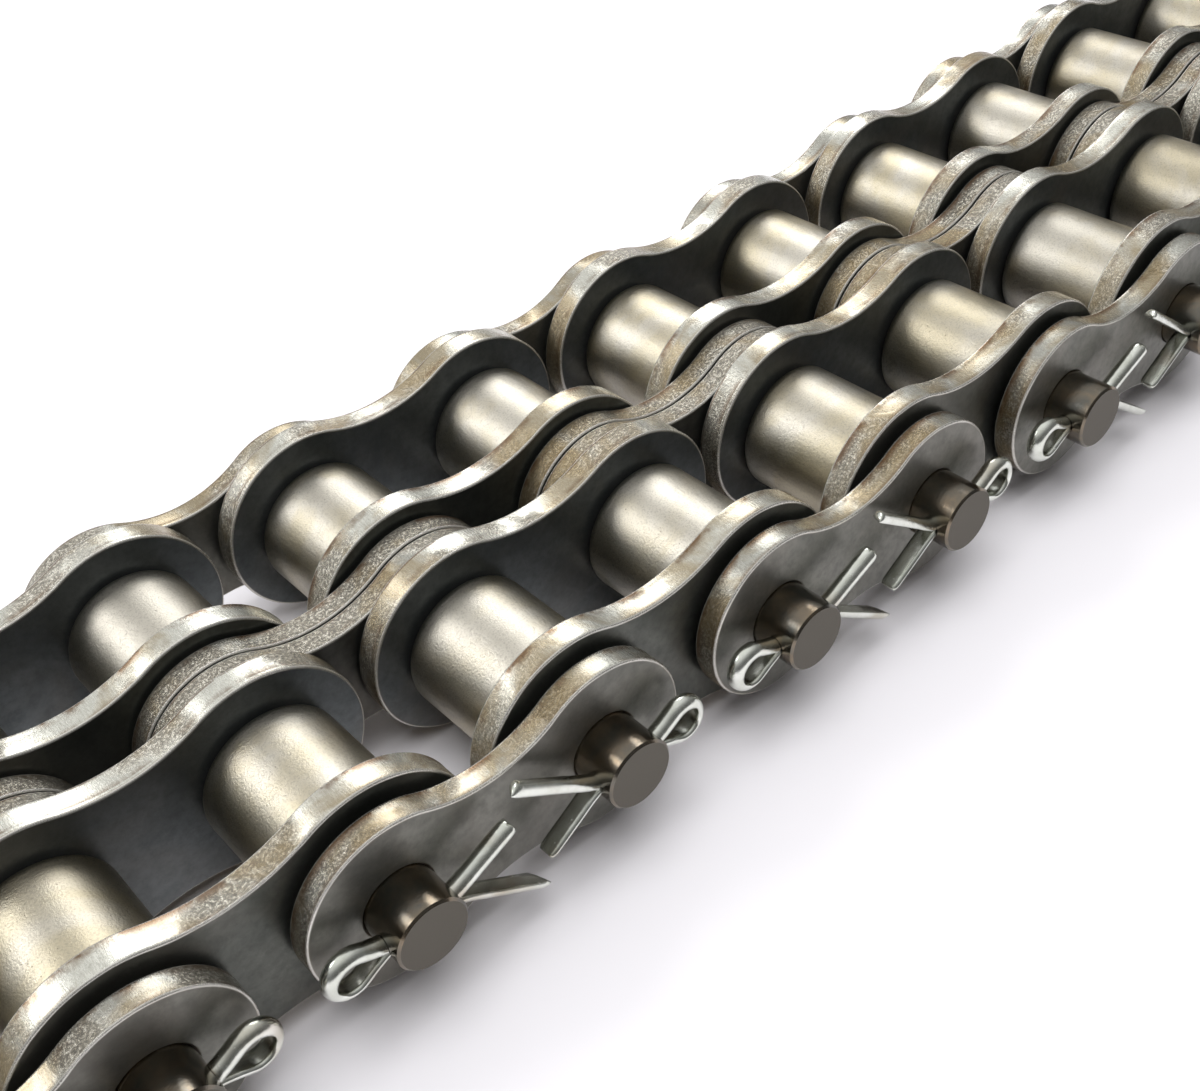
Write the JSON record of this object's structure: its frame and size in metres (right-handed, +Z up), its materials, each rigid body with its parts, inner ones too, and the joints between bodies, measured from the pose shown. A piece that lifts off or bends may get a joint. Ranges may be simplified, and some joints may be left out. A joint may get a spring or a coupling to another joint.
{
  "type": "duplex roller chain",
  "caption": "Length of steel duplex roller chain with cottered pins, for a power drive on duplex sprockets; roller links at the ends leave open bush bores for connecting pins.",
  "frame": {"origin": "on the axis of the near end's bush bore, halfway between the two strands", "axes": "+X along the straight chain from the near end to the far end, +Y along the pins from the cottered front strand to the back strand, +Z up, across the plates' height"},
  "size_m": [0.3536, 0.0661, 0.0234],
  "materials": {
    "outer_plate": "satin, dark warm grey heat-treated faces with light rims",
    "inner_plate": "satin, near-black faces with champagne sheared edges",
    "pin": "matte grey-brown ends, bright chamfer",
    "cotter": "bright zinc, slightly yellow-green",
    "bush": "satin",
    "roller": "satin, fine pits"
  },
  "bodies": {
    "inner_link_1": {"inner_link_1_plates": "inner_plate", "inner_link_1_bushes": "bush"},
    "inner_link_2": {"inner_link_2_plates": "inner_plate", "inner_link_2_bushes": "bush"},
    "inner_link_3": {"inner_link_3_plates": "inner_plate", "inner_link_3_bushes": "bush"},
    "inner_link_4": {"inner_link_4_plates": "inner_plate", "inner_link_4_bushes": "bush"},
    "inner_link_5": {"inner_link_5_plates": "inner_plate", "inner_link_5_bushes": "bush"},
    "inner_link_6": {"inner_link_6_plates": "inner_plate", "inner_link_6_bushes": "bush"},
    "inner_link_7": {"inner_link_7_plates": "inner_plate", "inner_link_7_bushes": "bush"},
    "outer_link_1": {"outer_link_1_plates": "outer_plate", "outer_link_1_pins": "pin", "outer_link_1_cotters": "cotter"},
    "outer_link_2": {"outer_link_2_plates": "outer_plate", "outer_link_2_pins": "pin", "outer_link_2_cotters": "cotter"},
    "outer_link_3": {"outer_link_3_plates": "outer_plate", "outer_link_3_pins": "pin", "outer_link_3_cotters": "cotter"},
    "outer_link_4": {"outer_link_4_plates": "outer_plate", "outer_link_4_pins": "pin", "outer_link_4_cotters": "cotter"},
    "outer_link_5": {"outer_link_5_plates": "outer_plate", "outer_link_5_pins": "pin", "outer_link_5_cotters": "cotter"},
    "outer_link_6": {"outer_link_6_plates": "outer_plate", "outer_link_6_pins": "pin", "outer_link_6_cotters": "cotter"},
    "front_roller_01": {"front_roller_01": "roller"},
    "front_roller_02": {"front_roller_02": "roller"},
    "front_roller_03": {"front_roller_03": "roller"},
    "front_roller_04": {"front_roller_04": "roller"},
    "front_roller_05": {"front_roller_05": "roller"},
    "front_roller_06": {"front_roller_06": "roller"},
    "front_roller_07": {"front_roller_07": "roller"},
    "front_roller_08": {"front_roller_08": "roller"},
    "front_roller_09": {"front_roller_09": "roller"},
    "front_roller_10": {"front_roller_10": "roller"},
    "front_roller_11": {"front_roller_11": "roller"},
    "front_roller_12": {"front_roller_12": "roller"},
    "front_roller_13": {"front_roller_13": "roller"},
    "front_roller_14": {"front_roller_14": "roller"},
    "back_roller_01": {"back_roller_01": "roller"},
    "back_roller_02": {"back_roller_02": "roller"},
    "back_roller_03": {"back_roller_03": "roller"},
    "back_roller_04": {"back_roller_04": "roller"},
    "back_roller_05": {"back_roller_05": "roller"},
    "back_roller_06": {"back_roller_06": "roller"},
    "back_roller_07": {"back_roller_07": "roller"},
    "back_roller_08": {"back_roller_08": "roller"},
    "back_roller_09": {"back_roller_09": "roller"},
    "back_roller_10": {"back_roller_10": "roller"},
    "back_roller_11": {"back_roller_11": "roller"},
    "back_roller_12": {"back_roller_12": "roller"},
    "back_roller_13": {"back_roller_13": "roller"},
    "back_roller_14": {"back_roller_14": "roller"}
  },
  "joints": [
    {"name": "link_hinge_07", "type": "hinge", "parent": "inner_link_4", "child": "outer_link_3", "pos_m": [0.1524, 0, 0], "axis": [0, 1, 0], "range_deg": [-40, 40]},
    {"name": "link_hinge_06", "type": "hinge", "parent": "outer_link_3", "child": "inner_link_3", "pos_m": [0.127, 0, 0], "axis": [0, 1, 0], "range_deg": [-40, 40]},
    {"name": "link_hinge_05", "type": "hinge", "parent": "inner_link_3", "child": "outer_link_2", "pos_m": [0.1016, 0, 0], "axis": [0, 1, 0], "range_deg": [-40, 40]},
    {"name": "link_hinge_04", "type": "hinge", "parent": "outer_link_2", "child": "inner_link_2", "pos_m": [0.0762, 0, 0], "axis": [0, 1, 0], "range_deg": [-40, 40]},
    {"name": "link_hinge_03", "type": "hinge", "parent": "inner_link_2", "child": "outer_link_1", "pos_m": [0.0508, 0, 0], "axis": [0, 1, 0], "range_deg": [-40, 40]},
    {"name": "link_hinge_02", "type": "hinge", "parent": "outer_link_1", "child": "inner_link_1", "pos_m": [0.0254, 0, 0], "axis": [0, 1, 0], "range_deg": [-40, 40]},
    {"name": "link_hinge_08", "type": "hinge", "parent": "inner_link_4", "child": "outer_link_4", "pos_m": [0.1778, 0, 0], "axis": [0, 1, 0], "range_deg": [-40, 40]},
    {"name": "link_hinge_09", "type": "hinge", "parent": "outer_link_4", "child": "inner_link_5", "pos_m": [0.2032, 0, 0], "axis": [0, 1, 0], "range_deg": [-40, 40]},
    {"name": "link_hinge_10", "type": "hinge", "parent": "inner_link_5", "child": "outer_link_5", "pos_m": [0.2286, 0, 0], "axis": [0, 1, 0], "range_deg": [-40, 40]},
    {"name": "link_hinge_11", "type": "hinge", "parent": "outer_link_5", "child": "inner_link_6", "pos_m": [0.254, 0, 0], "axis": [0, 1, 0], "range_deg": [-40, 40]},
    {"name": "link_hinge_12", "type": "hinge", "parent": "inner_link_6", "child": "outer_link_6", "pos_m": [0.2794, 0, 0], "axis": [0, 1, 0], "range_deg": [-40, 40]},
    {"name": "link_hinge_13", "type": "hinge", "parent": "outer_link_6", "child": "inner_link_7", "pos_m": [0.3048, 0, 0], "axis": [0, 1, 0], "range_deg": [-40, 40]},
    {"name": "front_roller_01_spin", "type": "hinge", "parent": "inner_link_1", "child": "front_roller_01", "pos_m": [0, -0.01465, 0], "axis": [0, 1, 0], "continuous": true},
    {"name": "front_roller_02_spin", "type": "hinge", "parent": "inner_link_1", "child": "front_roller_02", "pos_m": [0.0254, -0.01465, 0], "axis": [0, 1, 0], "continuous": true},
    {"name": "front_roller_03_spin", "type": "hinge", "parent": "inner_link_2", "child": "front_roller_03", "pos_m": [0.0508, -0.01465, 0], "axis": [0, 1, 0], "continuous": true},
    {"name": "front_roller_04_spin", "type": "hinge", "parent": "inner_link_2", "child": "front_roller_04", "pos_m": [0.0762, -0.01465, 0], "axis": [0, 1, 0], "continuous": true},
    {"name": "front_roller_05_spin", "type": "hinge", "parent": "inner_link_3", "child": "front_roller_05", "pos_m": [0.1016, -0.01465, 0], "axis": [0, 1, 0], "continuous": true},
    {"name": "front_roller_06_spin", "type": "hinge", "parent": "inner_link_3", "child": "front_roller_06", "pos_m": [0.127, -0.01465, 0], "axis": [0, 1, 0], "continuous": true},
    {"name": "front_roller_07_spin", "type": "hinge", "parent": "inner_link_4", "child": "front_roller_07", "pos_m": [0.1524, -0.01465, 0], "axis": [0, 1, 0], "continuous": true},
    {"name": "front_roller_08_spin", "type": "hinge", "parent": "inner_link_4", "child": "front_roller_08", "pos_m": [0.1778, -0.01465, 0], "axis": [0, 1, 0], "continuous": true},
    {"name": "front_roller_09_spin", "type": "hinge", "parent": "inner_link_5", "child": "front_roller_09", "pos_m": [0.2032, -0.01465, 0], "axis": [0, 1, 0], "continuous": true},
    {"name": "front_roller_10_spin", "type": "hinge", "parent": "inner_link_5", "child": "front_roller_10", "pos_m": [0.2286, -0.01465, 0], "axis": [0, 1, 0], "continuous": true},
    {"name": "front_roller_11_spin", "type": "hinge", "parent": "inner_link_6", "child": "front_roller_11", "pos_m": [0.254, -0.01465, 0], "axis": [0, 1, 0], "continuous": true},
    {"name": "front_roller_12_spin", "type": "hinge", "parent": "inner_link_6", "child": "front_roller_12", "pos_m": [0.2794, -0.01465, 0], "axis": [0, 1, 0], "continuous": true},
    {"name": "front_roller_13_spin", "type": "hinge", "parent": "inner_link_7", "child": "front_roller_13", "pos_m": [0.3048, -0.01465, 0], "axis": [0, 1, 0], "continuous": true},
    {"name": "front_roller_14_spin", "type": "hinge", "parent": "inner_link_7", "child": "front_roller_14", "pos_m": [0.3302, -0.01465, 0], "axis": [0, 1, 0], "continuous": true},
    {"name": "back_roller_01_spin", "type": "hinge", "parent": "inner_link_1", "child": "back_roller_01", "pos_m": [0, 0.01465, 0], "axis": [0, 1, 0], "continuous": true},
    {"name": "back_roller_02_spin", "type": "hinge", "parent": "inner_link_1", "child": "back_roller_02", "pos_m": [0.0254, 0.01465, 0], "axis": [0, 1, 0], "continuous": true},
    {"name": "back_roller_03_spin", "type": "hinge", "parent": "inner_link_2", "child": "back_roller_03", "pos_m": [0.0508, 0.01465, 0], "axis": [0, 1, 0], "continuous": true},
    {"name": "back_roller_04_spin", "type": "hinge", "parent": "inner_link_2", "child": "back_roller_04", "pos_m": [0.0762, 0.01465, 0], "axis": [0, 1, 0], "continuous": true},
    {"name": "back_roller_05_spin", "type": "hinge", "parent": "inner_link_3", "child": "back_roller_05", "pos_m": [0.1016, 0.01465, 0], "axis": [0, 1, 0], "continuous": true},
    {"name": "back_roller_06_spin", "type": "hinge", "parent": "inner_link_3", "child": "back_roller_06", "pos_m": [0.127, 0.01465, 0], "axis": [0, 1, 0], "continuous": true},
    {"name": "back_roller_07_spin", "type": "hinge", "parent": "inner_link_4", "child": "back_roller_07", "pos_m": [0.1524, 0.01465, 0], "axis": [0, 1, 0], "continuous": true},
    {"name": "back_roller_08_spin", "type": "hinge", "parent": "inner_link_4", "child": "back_roller_08", "pos_m": [0.1778, 0.01465, 0], "axis": [0, 1, 0], "continuous": true},
    {"name": "back_roller_09_spin", "type": "hinge", "parent": "inner_link_5", "child": "back_roller_09", "pos_m": [0.2032, 0.01465, 0], "axis": [0, 1, 0], "continuous": true},
    {"name": "back_roller_10_spin", "type": "hinge", "parent": "inner_link_5", "child": "back_roller_10", "pos_m": [0.2286, 0.01465, 0], "axis": [0, 1, 0], "continuous": true},
    {"name": "back_roller_11_spin", "type": "hinge", "parent": "inner_link_6", "child": "back_roller_11", "pos_m": [0.254, 0.01465, 0], "axis": [0, 1, 0], "continuous": true},
    {"name": "back_roller_12_spin", "type": "hinge", "parent": "inner_link_6", "child": "back_roller_12", "pos_m": [0.2794, 0.01465, 0], "axis": [0, 1, 0], "continuous": true},
    {"name": "back_roller_13_spin", "type": "hinge", "parent": "inner_link_7", "child": "back_roller_13", "pos_m": [0.3048, 0.01465, 0], "axis": [0, 1, 0], "continuous": true},
    {"name": "back_roller_14_spin", "type": "hinge", "parent": "inner_link_7", "child": "back_roller_14", "pos_m": [0.3302, 0.01465, 0], "axis": [0, 1, 0], "continuous": true}
  ]
}
